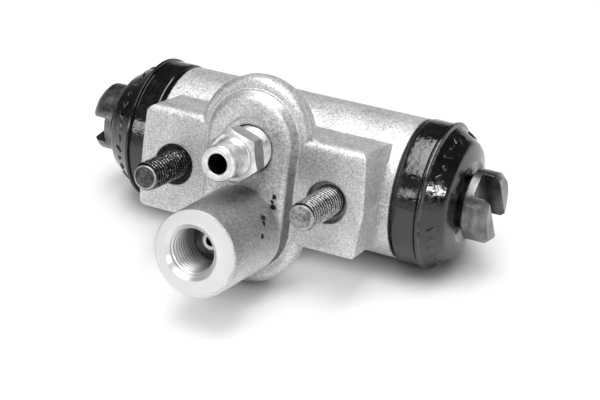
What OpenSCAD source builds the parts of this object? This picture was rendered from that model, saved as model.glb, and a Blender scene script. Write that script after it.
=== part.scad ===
// Drum brake wheel cylinder: a cast body with two opposed pistons, their cup seals,
// return spring and dust boots, two mounting studs, a line inlet and a bleed screw.
// The bore runs along X, the studs point along -Y and +Z is up. The origin lies
// midway between the studs, on the mounting face. Lengths are millimetres.

/* [Bore and barrel] */
// Diameter of the bore
bore_d = 17.46; // [16.6:0.02:18.4]
// Length of the barrel, end face to end face
barrel_l = 66; // [60:0.5:74]
// Outside diameter of the cast barrel
barrel_d = 30.2; // [28.6:0.1:32]
// Chamfer at each mouth of the bore
bore_chamfer = 0.7; // [0.3:0.1:1.2]
// Length of the turned spigot that carries each boot
spigot_l = 5.5; // [4.8:0.1:7]
// Step from the barrel down to the spigot
spigot_step = 2.1; // [1.5:0.1:2.6]
// Width of the boot groove round the spigot
spigot_groove_w = 2.2; // [1.6:0.1:2.8]
// Depth of the boot groove round the spigot
spigot_groove_depth = 1; // [0.6:0.1:1.4]

/* [Mounting lugs] */
// Distance from the bore axis to the mounting face
bore_to_face = 24.2; // [22.5:0.1:27]
// Distance from each lug's side to the spigot's shoulder
lug_setback = 2; // [1:0.1:4]
// Height of the lugs above the bore axis
lug_above = 12.3; // [11:0.1:13.5]
// Depth of the lugs below the bore axis
lug_below = 10.2; // [9:0.1:12]
// Corner radius of the lugs
lug_corner_r = 1.8; // [1:0.1:3]
// Edge radius along the top and bottom of the mounting face
lug_edge_r = 1.6; // [0.8:0.1:2]
// Edge radius along the upright edges of the mounting face
lug_side_edge_r = 0.8; // [0.4:0.1:1.4]
// Draft on the lug sides, from the parting plane to the top and the bottom
lug_draft = 0.6; // [0.2:0.1:1.2]
// Slope of the lugs' top and bottom, inwards to the barrel, in degrees
lug_slope = 3.6; // [1:0.2:5]
// Height of the parting plane above the bore axis
parting_z = 0.3; // [-1:0.1:2]
// Fillet between the collar and the lugs
lug_fillet_r = 2.2; // [1:0.1:3]

/* [Collar and pad] */
// Radius of the collar's round ends
collar_r = 12.2; // [12:0.1:13]
// Height of the collar above the bore axis
collar_above = 23; // [21.5:0.1:25]
// Depth of the collar below the bore axis
collar_below = 20.9; // [19.5:0.1:23]
// Thickness of the collar, behind the mounting face
collar_t = 5.4; // [4:0.1:7]
// Edge radius of the collar's rim
collar_edge_r = 1.6; // [0.8:0.1:1.6]
// Radius of the pad's round ends at its root
pad_r = 10.2; // [9.8:0.1:10.5]
// Height of the pad above the bore axis
pad_above = 20.3; // [19:0.1:21]
// Depth of the pad below the bore axis
pad_below = 17.7; // [17:0.1:18.8]
// Rise of the pad off the mounting face
pad_rise = 2.2; // [1.4:0.1:3.5]
// Edge radius of the pad
pad_edge_r = 1.5; // [1:0.1:1.8]
// Slope of the pad's flank, in degrees
pad_draft = 30; // [20:1:36]

/* [Drillings] */
// Distance from the bore axis to the bleed axis above and the inlet axis below
port_offset = 8.7; // [8.2:0.1:9.2]
// Diameter of the drillings that lead into the bore
port_d = 3; // [2:0.1:3.6]
// Wall of the neck that holds the inlet's drilling
neck_wall = 3.2; // [2.4:0.1:4]
// Wall round the bleed hole behind the collar
bleed_wall = 1.2; // [0.9:0.1:1.3]

/* [Inlet] */
// Distance from the bore axis to the inlet's face
inlet_reach = 45.3; // [42:0.1:50]
// Diameter of the inlet boss at its face
inlet_boss_d = 18; // [16.5:0.1:19]
// Draft of the inlet boss, as radius gained at its root
inlet_boss_draft = 0.4; // [0.1:0.1:0.8]
// Distance of the drilled inlet from the boss's middle, to the left
inlet_shift = 1.1; // [0:0.1:1.5]
// Major diameter of the inlet thread
inlet_thread_d = 10; // [9:0.1:11]
// Length of the inlet thread
inlet_thread_l = 10; // [8:0.1:11.5]
// Diameter of the chamfer at the inlet's mouth
inlet_mouth_d = 11.7; // [11.2:0.1:12.5]
// Diameter of the thread relief at the bottom of the inlet
inlet_relief_d = 10.8; // [10.4:0.1:11.4]
// Length of the thread relief
inlet_relief_l = 3.6; // [3.2:0.1:4.4]
// Height of the flare seat in the relief
flare_seat_h = 2.8; // [2:0.1:3]
// Diameter of the flare seat's rim
flare_seat_rim_d = 4.1; // [3.9:0.1:4.8]

/* [Studs] */
// Distance between the studs
stud_spacing = 35; // [33:0.5:38]
// Height of the studs above the bore axis
stud_rise = 0.75; // [-1:0.05:2]
// Diameter of the studs
stud_d = 6; // [5:0.1:7]
// Diameter of the stud's root inside the lug
stud_root_d = 5.5; // [4.5:0.1:6]
// Length of each stud outside the mounting face
stud_out = 12; // [9:0.1:18]
// Length of each stud inside the lug
stud_in = 11.5; // [9:0.1:12.5]
// Chamfer on the stud's end
stud_chamfer = 0.6; // [0.3:0.1:1]
// Diameter of the recess round each stud
recess_d = 8.8; // [8:0.1:9.4]
// Depth of the recess
recess_depth = 1.8; // [1:0.1:3]

/* [Bleed screw] */
// Shift of the bleed hole to the right of the middle
bleed_shift = 0.5; // [0:0.1:0.7]
// Diameter of the bleed screw's thread
bleed_thread_d = 9.5; // [9:0.1:9.8]
// Length of the thread inside the body
bleed_thread_l = 9; // [7.5:0.1:10]
// Diameter of the clearance at the mouth of the bleed hole
bleed_mouth_d = 10.1; // [10:0.1:11]
// Depth of the clearance at the mouth
bleed_mouth_depth = 1.2; // [0.6:0.1:2]
// Diameter of the slanted spot face round the bleed hole
spot_face_d = 13; // [12.4:0.1:14]
// Slant of the spot face, in degrees
spot_face_slant = 4; // [3:0.5:5]
// Direction in which the spot face is deepest, in degrees from the right
spot_face_turn = 125; // [90:5:150]
// Lift of the spot face's middle off the pad
spot_face_lift = 0.3; // [0.2:0.05:0.4]
// Diameter of the shank below the thread
bleed_shank_d = 7.1; // [6:0.1:7.6]
// Diameter of the flat on the point of the seat cone
bleed_point_d = 1.2; // [0.8:0.1:2]
// Diameter of the cross hole in the shank
bleed_cross_d = 1.6; // [1:0.1:1.8]
// Gap from the pad to the hexagon
hex_gap = 3.9; // [3:0.1:4.6]
// Length of the plain neck between the thread and the hexagon
bleed_neck_l = 0.6; // [0.3:0.1:1]
// Size of the hexagon across its flats
hex_af = 10; // [9:0.1:10.6]
// Length of the hexagon
hex_l = 3.9; // [3:0.1:5]
// Inset of the chamfered front from the hexagon's flats
hex_inset = 0.2; // [0.1:0.05:0.4]
// Turn of the hexagon about its axis
hex_turn = -15; // [-30:1:30]
// Diameter of the nipple's root at the hexagon
nipple_root_d = 8.2; // [7.4:0.1:8.4]
// Length of the nipple's root cone
nipple_root_l = 2; // [1:0.1:2.4]
// Length of the nipple beyond the hexagon
nipple_l = 6.3; // [6:0.1:8]
// Diameter of the nipple's bulb
nipple_d = 7.4; // [7:0.1:7.8]
// Length of the nipple's bulb
nipple_bulb_l = 2; // [1.4:0.1:2.4]
// Chamfer on the nipple's tip
nipple_chamfer = 0.5; // [0.2:0.1:0.8]
// Diameter of the nipple's neck
nipple_neck_d = 6.5; // [6:0.1:6.8]
// Diameter of the hole through the nipple
nipple_hole_d = 4; // [3:0.1:4.4]

/* [Pistons] */
// Length of each piston
piston_l = 27; // [25:0.1:30]
// Length of the piston's guide, which fills the bore
guide_l = 15.5; // [13:0.1:16.5]
// Diameter of the piston's tip
tip_d = 15.1; // [14.2:0.1:15.8]
// Length of the tip beyond the boot groove
tip_l = 5.2; // [4.4:0.1:6]
// Width of the boot groove in the piston
piston_groove_w = 3; // [2.4:0.1:3.4]
// Diameter at the bottom of the boot groove
piston_groove_d = 11.5; // [10.5:0.1:12.5]
// Chamfer on the piston's inner face
inner_chamfer = 0.6; // [0.3:0.1:1]
// Chamfer on the piston's end
tip_chamfer = 1.05; // [0.5:0.05:1.5]
// Width of the slot for the brake shoe
slot_w = 6; // [5:0.1:7]
// Depth of the slot
slot_depth = 3.4; // [2.6:0.1:4]
// Stand of the left piston's end out of the barrel
left_stand = 15.05; // [13:0.05:17]
// Stand of the right piston's end out of the barrel
right_stand = 12.8; // [12:0.05:17]
// Turn of the left piston's slot from the horizontal
left_slot_turn = 12.7; // [-90:0.1:90]
// Turn of the right piston's slot from the horizontal
right_slot_turn = -50.7; // [-90:0.1:90]

/* [Seals and spring] */
// Length of each cup seal
cup_l = 6.5; // [5.8:0.1:8]
// Thickness of the cup's back
cup_back_t = 2.2; // [1.6:0.1:3]
// Thickness of the cup's skirt at its root
cup_skirt_t = 1.7; // [1.3:0.1:2.2]
// Bevel on the cup's back edge and in the root of its skirt
cup_bevel = 0.6; // [0.3:0.1:0.9]
// Thickness of the spring seat's plate
seat_t = 1; // [0.6:0.1:1.4]
// Length of the spring seat's hub
seat_hub_l = 2.6; // [1.6:0.1:3]
// Wall of the spring seat's hub
seat_hub_t = 0.8; // [0.5:0.1:1.2]
// Wire diameter of the return spring
wire_d = 1; // [0.7:0.1:1.2]
// Mean diameter of the return spring
spring_d = 8.6; // [8:0.1:9]
// Number of coils in the return spring
spring_coils = 7; // [5:1:9]

/* [Boots] */
// Thickness of the boot's band on the spigot
boot_band_t = 2.3; // [1.8:0.1:2.8]
// Distance that the boot's band reaches past the barrel's end
boot_overhang = 0.45; // [0.3:0.05:0.8]
// Gap between the barrel's shoulder and the boot's band
boot_band_gap = 0.8; // [0.4:0.1:1.2]
// Edge radius of the boot's band beside the barrel
boot_edge_r = 0.6; // [0.3:0.1:1]
// Bevel on the boot's band beside its groove
boot_bevel = 0.3; // [0.2:0.05:0.5]
// Depth of the groove between the boot's band and its lip
boot_groove_depth = 0.4; // [0.2:0.05:0.6]
// Rise of the boot's lip above its band
boot_lip_rise = 0.4; // [0.2:0.05:0.8]
// Width of the boot's lip
boot_lip_w = 0.75; // [0.5:0.05:1.2]
// Edge radius of the boot's lip
boot_lip_r = 0.3; // [0.2:0.05:0.35]
// Drop from the boot's band to the top of its cone
boot_cone_drop = 0.45; // [0.2:0.05:0.8]
// Slope of the boot's cone, in degrees
boot_slope = 32.5; // [28:0.5:36]
// Wall thickness of the boot's cone
boot_wall = 1.5; // [1.1:0.1:1.8]
// Section radius of the corner between the boot's cone and its nose
boot_corner_r = 1.8; // [1:0.1:2]
// Distance of that corner behind the middle of the piston's groove
boot_corner_back = 0.5; // [0.3:0.1:0.9]
// Section radius of the nose's rim
nose_r = 0.7; // [0.4:0.1:0.9]
// Height of the nose's rim above the piston's tip
nose_lift = 1.15; // [0.9:0.05:1.4]
// Reach of the nose's rim past the middle of the piston's groove
nose_reach = 0.5; // [0.3:0.1:0.8]
// Depth of the hollow inside the nose's rim
nose_hollow = 0.4; // [0.2:0.1:0.6]
// Height of the boot's mouth above the piston's tip
mouth_lift = 0.35; // [0.2:0.05:0.5]

/* [Clearances] */
// Radial clearance of the piston's guide in the bore
piston_clear = 0.03; // [0.02:0.01:0.06]
// Radial clearance of the cup seals in the bore
cup_clear = 0.05; // [0.02:0.01:0.1]
// Radial clearance of the bleed screw in its hole
bleed_clear = 0.05; // [0.02:0.01:0.1]
// Radial clearance of the studs in their holes
stud_clear = 0.03; // [0.02:0.01:0.06]
// Gap between faces that bear on each other across a joint
face_gap = 0.1; // [0.05:0.01:0.2]
// Gap between the spring seat's plate and its cup
seat_edge_gap = 0.3; // [0.1:0.05:0.5]
// Radial gap between the return spring and the spring seat's hub
hub_gap = 0.2; // [0.1:0.05:0.4]
// Gap round the boots where they grip
boot_gap = 0.1; // [0.05:0.01:0.2]
// Side gap of the boot's bead in the piston's groove
bead_gap = 0.25; // [0.15:0.01:0.4]

/* [Hidden] */
$fn = 96;
eps = 0.01;

aluminium = [0.80, 0.80, 0.79];
dark_steel = [0.16, 0.16, 0.17];
plain_steel = [0.52, 0.52, 0.53];
zinc = [0.86, 0.86, 0.85];
turned_steel = [0.55, 0.54, 0.53];
seal_rubber = [0.10, 0.10, 0.10];
boot_rubber = [0.05, 0.05, 0.055];
spring_steel = [0.45, 0.45, 0.47];

bore_r = bore_d / 2;
barrel_r = barrel_d / 2;
barrel_end = barrel_l / 2;
shoulder = barrel_end - spigot_l;
spigot_r = barrel_r - spigot_step;
spigot_groove_mid = shoulder + spigot_l / 2;
lug_half = shoulder - lug_setback;
pad_face = bore_to_face + pad_rise;
bleed_hole_r = bleed_thread_d / 2 + bleed_clear;
bleed_hole_end = pad_face - bleed_thread_l - 1;
bleed_seat_l = bleed_hole_r - port_d / 2;
inlet_mouth_l = (inlet_mouth_d - inlet_thread_d) / 2;
inlet_floor = inlet_reach - inlet_mouth_l - inlet_thread_l - inlet_relief_l;
piston_r = bore_r - piston_clear;
cup_r = bore_r - cup_clear;
groove_start = piston_l - tip_l - piston_groove_w;

// Local +Z turned to the front, -Y, with local Y turned up.
module to_front() {
    rotate([90, 0, 0]) children();
}

// Local +Z turned to the right, +X.
module to_right() {
    rotate([0, 90, 0]) children();
}

// What is drawn about the bore axis, moved to the mounting face's frame.
module from_bore() {
    translate([0, bore_to_face, -stud_rise]) children();
}

// Children drawn for the right end, turned to the side that is asked for.
module end(side) {
    if (side == "left") mirror([1, 0, 0]) children();
    else children();
}

// Section of a round plate from its axis to its rim, with rounded edges.
module rim_section(r, t, front_r, back_r) {
    square([r - max(front_r, back_r), t]);
    translate([0, back_r]) square([r, t - front_r - back_r]);
    translate([r - front_r, t - front_r]) intersection() {
        circle(front_r);
        translate([-eps, -eps]) square(front_r + 2 * eps);
    }
    if (back_r > 0) translate([r - back_r, back_r]) circle(back_r);
}

// Upright plate with round ends and rounded edges, its front towards local +Z.
module oblong_plate(r, above, below, t, front_r, back_r) {
    translate([0, above - r, 0]) rotate_extrude() rim_section(r, t, front_r, back_r);
    translate([0, r - below, 0]) rotate_extrude() rim_section(r, t, front_r, back_r);
    translate([0, above - r, 0]) rotate([90, 0, 0]) linear_extrude(above + below - 2 * r) {
        rim_section(r, t, front_r, back_r);
        mirror([1, 0]) rim_section(r, t, front_r, back_r);
    }
}

// Section of the pad from its axis to its rim: a sloping flank under a rounded edge.
module pad_section() {
    root = collar_t / 2;
    front = root + pad_rise;
    drop = pad_edge_r * (1 - sin(pad_draft));
    touch_r = pad_r - (pad_rise - drop) * tan(pad_draft);
    flat_r = touch_r - pad_edge_r * cos(pad_draft);
    sunk_r = pad_edge_r - 4 * eps;
    polygon([[0, 0], [pad_r, 0], [pad_r, root],
             [flat_r + sunk_r * cos(pad_draft), front - pad_edge_r + sunk_r * sin(pad_draft)],
             [flat_r, front - pad_edge_r], [flat_r, front], [0, front]]);
    translate([flat_r, front - pad_edge_r]) circle(pad_edge_r);
}

// Raised pad from the middle of the collar forwards, its front towards local +Z.
module pad() {
    translate([0, pad_above - pad_r, 0]) rotate_extrude() pad_section();
    translate([0, pad_r - pad_below, 0]) rotate_extrude() pad_section();
    translate([0, pad_above - pad_r, 0]) rotate([90, 0, 0])
        linear_extrude(pad_above + pad_below - 2 * pad_r) {
            pad_section();
            mirror([1, 0]) pad_section();
        }
}

// Barrel with its turned spigots and boot grooves.
module barrel() {
    groove_r = spigot_r - spigot_groove_depth;
    rib_l = (spigot_l - spigot_groove_w) / 2;
    to_right() cylinder(h = 2 * shoulder, r = barrel_r, center = true);
    to_right() cylinder(h = barrel_l, r = groove_r, center = true);
    for (side = ["left", "right"]) end(side) to_right() {
        translate([0, 0, shoulder - eps]) cylinder(h = rib_l + eps, r = spigot_r);
        translate([0, 0, barrel_end - rib_l]) cylinder(h = rib_l, r = spigot_r);
    }
}

// Front view of the lugs: sides with draft both ways from the parting plane.
module lug_outline() {
    r = lug_corner_r;
    top_half = lug_half - lug_draft;
    for (side = [0, 1]) mirror([side, 0]) {
        polygon([[0, lug_above], [top_half - r, lug_above], [top_half, lug_above - r],
                 [lug_half, parting_z], [top_half, r - lug_below],
                 [top_half - r, -lug_below], [0, -lug_below]]);
        translate([top_half - r, lug_above - r]) circle(r);
        translate([top_half - r, r - lug_below]) circle(r);
    }
}

// Block of the two lugs, from the barrel's axis to the mounting face.
module lugs() {
    height = lug_above + lug_below;
    depth = bore_to_face - lug_edge_r;
    drop = depth * tan(lug_slope);
    intersection() {
        to_front() linear_extrude(bore_to_face) lug_outline();
        translate([-lug_half, 0, 0]) rotate([90, 0, 90]) linear_extrude(2 * lug_half) {
            polygon([[-depth, -lug_below], [0, drop - lug_below],
                     [0, lug_above - drop], [-depth, lug_above]]);
            translate([-bore_to_face, lug_edge_r - lug_below])
                square([2 * lug_edge_r, height - 2 * lug_edge_r]);
            for (z = [lug_above - lug_edge_r, lug_edge_r - lug_below])
                translate([-depth, z]) circle(lug_edge_r);
        }
        translate([0, 0, -lug_below]) linear_extrude(height) {
            translate([-lug_half, lug_side_edge_r - bore_to_face])
                square([2 * lug_half, bore_to_face]);
            translate([lug_side_edge_r - lug_half, -bore_to_face])
                square([2 * (lug_half - lug_side_edge_r), bore_to_face]);
            for (x = [-1, 1])
                translate([x * (lug_half - lug_side_edge_r), lug_side_edge_r - bore_to_face])
                    circle(lug_side_edge_r);
        }
    }
}

// Web that fills the corner between a collar end and a lug's flat, seen from the front.
module corner_web(end_z, flat_z) {
    up = sign(flat_z);
    centre_z = flat_z + up * lug_fillet_r;
    reach = collar_r + lug_fillet_r;
    centre_x = sqrt(reach * reach - pow(centre_z - end_z, 2));
    touch_x = centre_x * collar_r / reach;
    touch_z = end_z + (centre_z - end_z) * collar_r / reach;
    difference() {
        polygon([[touch_x, touch_z], [centre_x, flat_z], [centre_x, flat_z - up],
                 [collar_r / 2, flat_z - up], [collar_r / 2, touch_z]]);
        translate([centre_x, centre_z]) circle(lug_fillet_r);
    }
}

// Collar, pad and inlet boss, with the necks that hold the drillings behind them.
module front_castings() {
    translate([0, collar_t - bore_to_face, 0]) to_front() {
        oblong_plate(collar_r, collar_above, collar_below, collar_t,
                     collar_edge_r, collar_edge_r);
        translate([0, 0, collar_edge_r]) linear_extrude(collar_t - 2 * collar_edge_r)
            for (side = [0, 1]) mirror([side, 0]) {
                corner_web(collar_above - collar_r, lug_above);
                corner_web(collar_r - collar_below, -lug_below);
            }
    }
    translate([0, collar_t / 2 - bore_to_face, 0]) to_front()
        pad();
    translate([0, 0, -port_offset]) to_front() {
        translate([0, 0, bore_to_face - collar_t + collar_edge_r])
            cylinder(h = inlet_reach - bore_to_face + collar_t - collar_edge_r,
                     r1 = inlet_boss_d / 2 + inlet_boss_draft, r2 = inlet_boss_d / 2);
        cylinder(h = bore_to_face - collar_edge_r, r = port_d / 2 + inlet_shift + neck_wall);
    }
    translate([bleed_shift, 0, port_offset]) to_front()
        cylinder(h = bore_to_face - collar_edge_r, r = bleed_hole_r + bleed_wall);
}

// Line inlet: chamfered mouth, thread, relief with a flare seat, and the port.
module inlet_cut() {
    translate([-inlet_shift, 0, -port_offset]) to_front() {
        rotate_extrude() polygon([
            [0, inlet_reach + eps],
            [inlet_mouth_d / 2 + eps, inlet_reach + eps],
            [inlet_thread_d / 2, inlet_reach - inlet_mouth_l],
            [inlet_thread_d / 2, inlet_floor + inlet_relief_l],
            [inlet_relief_d / 2, inlet_floor + inlet_relief_l],
            [inlet_relief_d / 2, inlet_floor],
            [flare_seat_rim_d / 2 + flare_seat_h / 2, inlet_floor],
            [flare_seat_rim_d / 2, inlet_floor + flare_seat_h],
            [0, inlet_floor + flare_seat_h]]);
        translate([0, 0, -port_d / 2]) cylinder(h = inlet_floor + inlet_relief_l, d = port_d);
    }
}

// Bleed hole: slanted spot face, clearance at the mouth, thread, conical seat, and the port.
module bleed_cut() {
    translate([bleed_shift, 0, port_offset]) to_front() {
        rotate_extrude() polygon([
            [0, pad_face + eps],
            [bleed_mouth_d / 2, pad_face + eps],
            [bleed_mouth_d / 2, pad_face - bleed_mouth_depth],
            [bleed_hole_r, pad_face - bleed_mouth_depth],
            [bleed_hole_r, bleed_hole_end],
            [port_d / 2, bleed_hole_end - bleed_seat_l],
            [0, bleed_hole_end - bleed_seat_l]]);
        translate([0, 0, -port_d / 2]) cylinder(h = bleed_hole_end, d = port_d);
        translate([0, 0, pad_face + spot_face_lift]) rotate(spot_face_turn)
            rotate([0, spot_face_slant, 0]) cylinder(h = pad_rise, d = spot_face_d);
    }
}

// Stud hole and the recess round it.
module stud_cut(x) {
    translate([x, 0, stud_rise]) to_front() {
        translate([0, 0, bore_to_face - stud_in])
            cylinder(h = stud_in + eps, r = stud_root_d / 2 + stud_clear);
        translate([0, 0, bore_to_face - recess_depth])
            cylinder(h = recess_depth + eps, d = recess_d);
    }
}

module cylinder_body() {
    color(aluminium) from_bore() difference() {
        union() {
            barrel();
            lugs();
            front_castings();
        }
        to_right() cylinder(h = barrel_l + 2, d = bore_d, center = true);
        for (side = ["left", "right"]) end(side) to_right()
            translate([0, 0, barrel_end - bore_chamfer])
                cylinder(h = bore_chamfer + eps, r1 = bore_r, r2 = bore_r + bore_chamfer + eps);
        inlet_cut();
        bleed_cut();
        for (x = [-1, 1]) stud_cut(x * stud_spacing / 2);
    }
}

// Stud with a chamfered end, seated at the bottom of its hole.
module stud(x) {
    from_bore() translate([x, 0, stud_rise]) to_front()
        translate([0, 0, bore_to_face - stud_in]) rotate_extrude() polygon([
            [0, 0],
            [stud_root_d / 2, 0],
            [stud_root_d / 2, stud_in - recess_depth],
            [stud_d / 2, stud_in - recess_depth],
            [stud_d / 2, stud_in + stud_out - stud_chamfer],
            [stud_d / 2 - stud_chamfer, stud_in + stud_out],
            [0, stud_in + stud_out]]);
}

module left_stud() {
    color(dark_steel) stud(-stud_spacing / 2);
}

module right_stud() {
    color(plain_steel) stud(stud_spacing / 2);
}

// Bleed screw: seat cone, thread, hexagon with a chamfered front, and hose nipple.
module bleed_screw() {
    thread_r = bleed_thread_d / 2;
    shank_r = bleed_shank_d / 2;
    point_r = bleed_point_d / 2;
    point = bleed_hole_end - pad_face - bleed_hole_r + point_r + face_gap * sqrt(2);
    shank_end = point + shank_r - point_r;
    hex_front = hex_gap + hex_l;
    tip = hex_front + nipple_l;
    bulb_back = tip - nipple_chamfer - nipple_bulb_l;
    bulb_rise = (nipple_d - nipple_neck_d) / 2;
    chamfer_r = hex_af / 2 - hex_inset;
    cross_z = (shank_end - bleed_thread_l) / 2;
    drill_end = shank_end;
    color(zinc) from_bore() translate([bleed_shift, 0, port_offset]) to_front()
        translate([0, 0, pad_face]) difference() {
            union() {
                rotate_extrude() polygon([
                    [0, point],
                    [point_r, point],
                    [shank_r, shank_end],
                    [shank_r, -bleed_thread_l],
                    [thread_r, -bleed_thread_l],
                    [thread_r, hex_gap - bleed_neck_l],
                    [nipple_root_d / 2, hex_gap - bleed_neck_l],
                    [nipple_root_d / 2, hex_front],
                    [nipple_neck_d / 2, hex_front + nipple_root_l],
                    [nipple_neck_d / 2, bulb_back - bulb_rise],
                    [nipple_d / 2, bulb_back],
                    [nipple_d / 2, tip - nipple_chamfer],
                    [nipple_d / 2 - nipple_chamfer, tip],
                    [0, tip]]);
                intersection() {
                    translate([0, 0, hex_gap]) rotate([0, 0, hex_turn])
                        cylinder(h = hex_l, r = hex_af / 2 / cos(30), $fn = 6);
                    translate([0, 0, hex_gap])
                        cylinder(h = hex_l, r1 = chamfer_r + hex_l / tan(30), r2 = chamfer_r);
                }
            }
            translate([0, 0, drill_end]) cylinder(h = tip - drill_end + eps, d = nipple_hole_d);
            translate([0, 0, cross_z]) to_right()
                cylinder(h = bleed_thread_d, d = bleed_cross_d, center = true);
        }
}

// Piston before its slot is cut, drawn from its inner face outwards along +X.
module piston_blank() {
    tip_r = tip_d / 2;
    to_right() rotate_extrude() polygon([
        [0, 0],
        [piston_r - inner_chamfer, 0],
        [piston_r, inner_chamfer],
        [piston_r, guide_l],
        [tip_r, guide_l],
        [tip_r, groove_start],
        [piston_groove_d / 2, groove_start],
        [piston_groove_d / 2, groove_start + piston_groove_w],
        [tip_r, groove_start + piston_groove_w],
        [tip_r, piston_l - tip_chamfer],
        [tip_r - tip_chamfer, piston_l],
        [0, piston_l]]);
}

module piston(side, stand, slot_turn) {
    from_bore() end(side) translate([barrel_end + stand - piston_l, 0, 0]) difference() {
        piston_blank();
        rotate([slot_turn, 0, 0]) translate([piston_l - slot_depth, -tip_d, -slot_w / 2])
            cube([slot_depth + 1, 2 * tip_d, slot_w]);
    }
}

module left_piston() {
    color(turned_steel) piston("left", left_stand, left_slot_turn);
}

module right_piston() {
    color(turned_steel) piston("right", right_stand, right_slot_turn);
}

// Place of a cup seal's back, inward of its piston's face.
function cup_back(stand) = barrel_end + stand - piston_l - face_gap;

// Cup seal with its skirt towards the middle of the bore.
module cup_seal(side, stand) {
    skirt_in = cup_r - cup_skirt_t;
    lip_in = cup_r - cup_skirt_t / 2;
    back = cup_back(stand);
    from_bore() end(side) translate([back, 0, 0]) to_right() rotate_extrude() polygon([
        [0, 0],
        [cup_r - cup_bevel, 0],
        [cup_r, -cup_bevel],
        [cup_r, -cup_l],
        [lip_in, -cup_l],
        [skirt_in, -cup_back_t - cup_bevel],
        [skirt_in - cup_bevel, -cup_back_t],
        [0, -cup_back_t]]);
}

module left_cup_seal() {
    color(seal_rubber) cup_seal("left", left_stand);
}

module right_cup_seal() {
    color(seal_rubber) cup_seal("right", right_stand);
}

// Outer radius of the spring seat's hub, inside the spring.
seat_hub_r = (spring_d - wire_d) / 2 - hub_gap;
// Place of the face that the spring bears on.
function spring_face(stand) = cup_back(stand) - cup_back_t - seat_t;

// Pressed spring seat: a plate in the cup with a hollow hub for the spring.
module spring_seat(side, stand) {
    plate_r = cup_r - cup_skirt_t - cup_bevel - seat_edge_gap;
    hub_in = seat_hub_r - seat_hub_t;
    from_bore() end(side) translate([spring_face(stand), 0, 0]) to_right()
        rotate_extrude() polygon([
        [hub_in, seat_t],
        [plate_r, seat_t],
        [plate_r, 0],
        [seat_hub_r, 0],
        [seat_hub_r, -seat_hub_l],
        [hub_in, -seat_hub_l]]);
}

module left_spring_seat() {
    color(plain_steel) spring_seat("left", left_stand);
}

module right_spring_seat() {
    color(plain_steel) spring_seat("right", right_stand);
}

// Coil swept along the bore between the two spring seats.
module return_spring() {
    sides = 8;
    steps = 14 * spring_coils;
    start = -spring_face(left_stand) + wire_d / 2 + face_gap;
    length = spring_face(right_stand) - wire_d / 2 - face_gap - start;
    points = [for (i = [0:steps], k = [0:sides - 1])
        let (turn = 360 * spring_coils * i / steps,
             section = 360 * k / sides,
             r = spring_d / 2 + wire_d / 2 * cos(section))
        [start + length * i / steps + wire_d / 2 * sin(section), r * cos(turn), r * sin(turn)]];
    walls = [for (i = [0:steps - 1], k = [0:sides - 1])
        let (a = i * sides + k, b = i * sides + (k + 1) % sides)
        [a, b, b + sides, a + sides]];
    caps = [[for (k = [sides - 1:-1:0]) k],
            [for (k = [0:sides - 1]) steps * sides + k]];
    color(spring_steel) from_bore() polyhedron(points = points, faces = concat(walls, caps));
}

// Points of a rounded corner at b, between a and c.
function corner(a, b, c, r, steps) =
    let (u = (a - b) / norm(a - b),
         v = (c - b) / norm(c - b),
         half = acos(u * v) / 2,
         centre = b + (u + v) / norm(u + v) * r / sin(half),
         from = b + u * r / tan(half) - centre,
         turn = -sign(cross(u, v)) * (180 - 2 * half))
    [for (i = [0:steps]) let (t = turn * i / steps)
        centre + [from[0] * cos(t) - from[1] * sin(t), from[0] * sin(t) + from[1] * cos(t)]];

// Closed outline whose corners are rounded, each to its own radius.
function soften(points, radii) =
    let (n = len(points))
    [for (i = [0:n - 1]) each
        radii[i] == 0 ? [points[i]]
        : corner(points[(i + n - 1) % n], points[i], points[(i + 1) % n], radii[i], 6)];

// Boot: a band that grips the spigot, a lip, a cone, and a nose with its bead in the piston's groove.
// Its section has the radius first and the distance along the bore second.
module boot(side, stand) {
    inner_r = spigot_r + boot_gap;
    band_r = inner_r + boot_band_t;
    band_start = shoulder + boot_band_gap;
    band_end = barrel_end + boot_overhang;
    lip_r = band_r + boot_lip_rise;
    lip_end = band_end + boot_bevel + boot_lip_w;
    cone_r = band_r - boot_cone_drop;
    groove_half = spigot_groove_w / 2 - boot_gap;
    groove_r = inner_r - spigot_groove_depth;
    bead_mid = barrel_end + stand - tip_l - piston_groove_w / 2;
    bead_half = piston_groove_w / 2 - bead_gap;
    bead_r = piston_groove_d / 2 + boot_gap;
    rim_r = tip_d / 2 + nose_lift;
    mouth_r = tip_d / 2 + mouth_lift;
    nose_at = bead_mid + nose_reach;
    turn_at = bead_mid - boot_corner_back;
    turn_r = cone_r - (turn_at - lip_end) * tan(boot_slope);
    inset = boot_wall * [cos(boot_slope), sin(boot_slope)];
    section = [
        [[inner_r, band_start], 0],
        [[band_r, band_start], boot_edge_r],
        [[band_r, band_end - boot_bevel], 0],
        [[band_r - boot_groove_depth, band_end], 0],
        [[lip_r, band_end + boot_bevel], boot_lip_r / 2],
        [[lip_r, lip_end - boot_lip_r], boot_lip_r / 2],
        [[cone_r, lip_end], 0],
        [[turn_r, turn_at], boot_corner_r],
        [[rim_r, nose_at], nose_r],
        [[mouth_r, nose_at - nose_hollow], 0],
        [[bead_r, nose_at - nose_hollow], 0],
        [[bead_r, bead_mid - bead_half], 0],
        [[mouth_r, bead_mid - bead_half], 0],
        [[turn_r, turn_at] - inset, 0],
        [[cone_r, lip_end] - inset, 0],
        [[inner_r, barrel_end + boot_gap], 0],
        [[inner_r, spigot_groove_mid + groove_half], 0],
        [[groove_r, spigot_groove_mid + groove_half], 0],
        [[groove_r, spigot_groove_mid - groove_half], 0],
        [[inner_r, spigot_groove_mid - groove_half], 0]];
    from_bore() end(side) to_right() rotate_extrude()
        polygon(soften([for (p = section) p[0]], [for (p = section) p[1]]));
}

module left_boot() {
    color(boot_rubber) boot("left", left_stand);
}

module right_boot() {
    color(boot_rubber) boot("right", right_stand);
}

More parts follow.
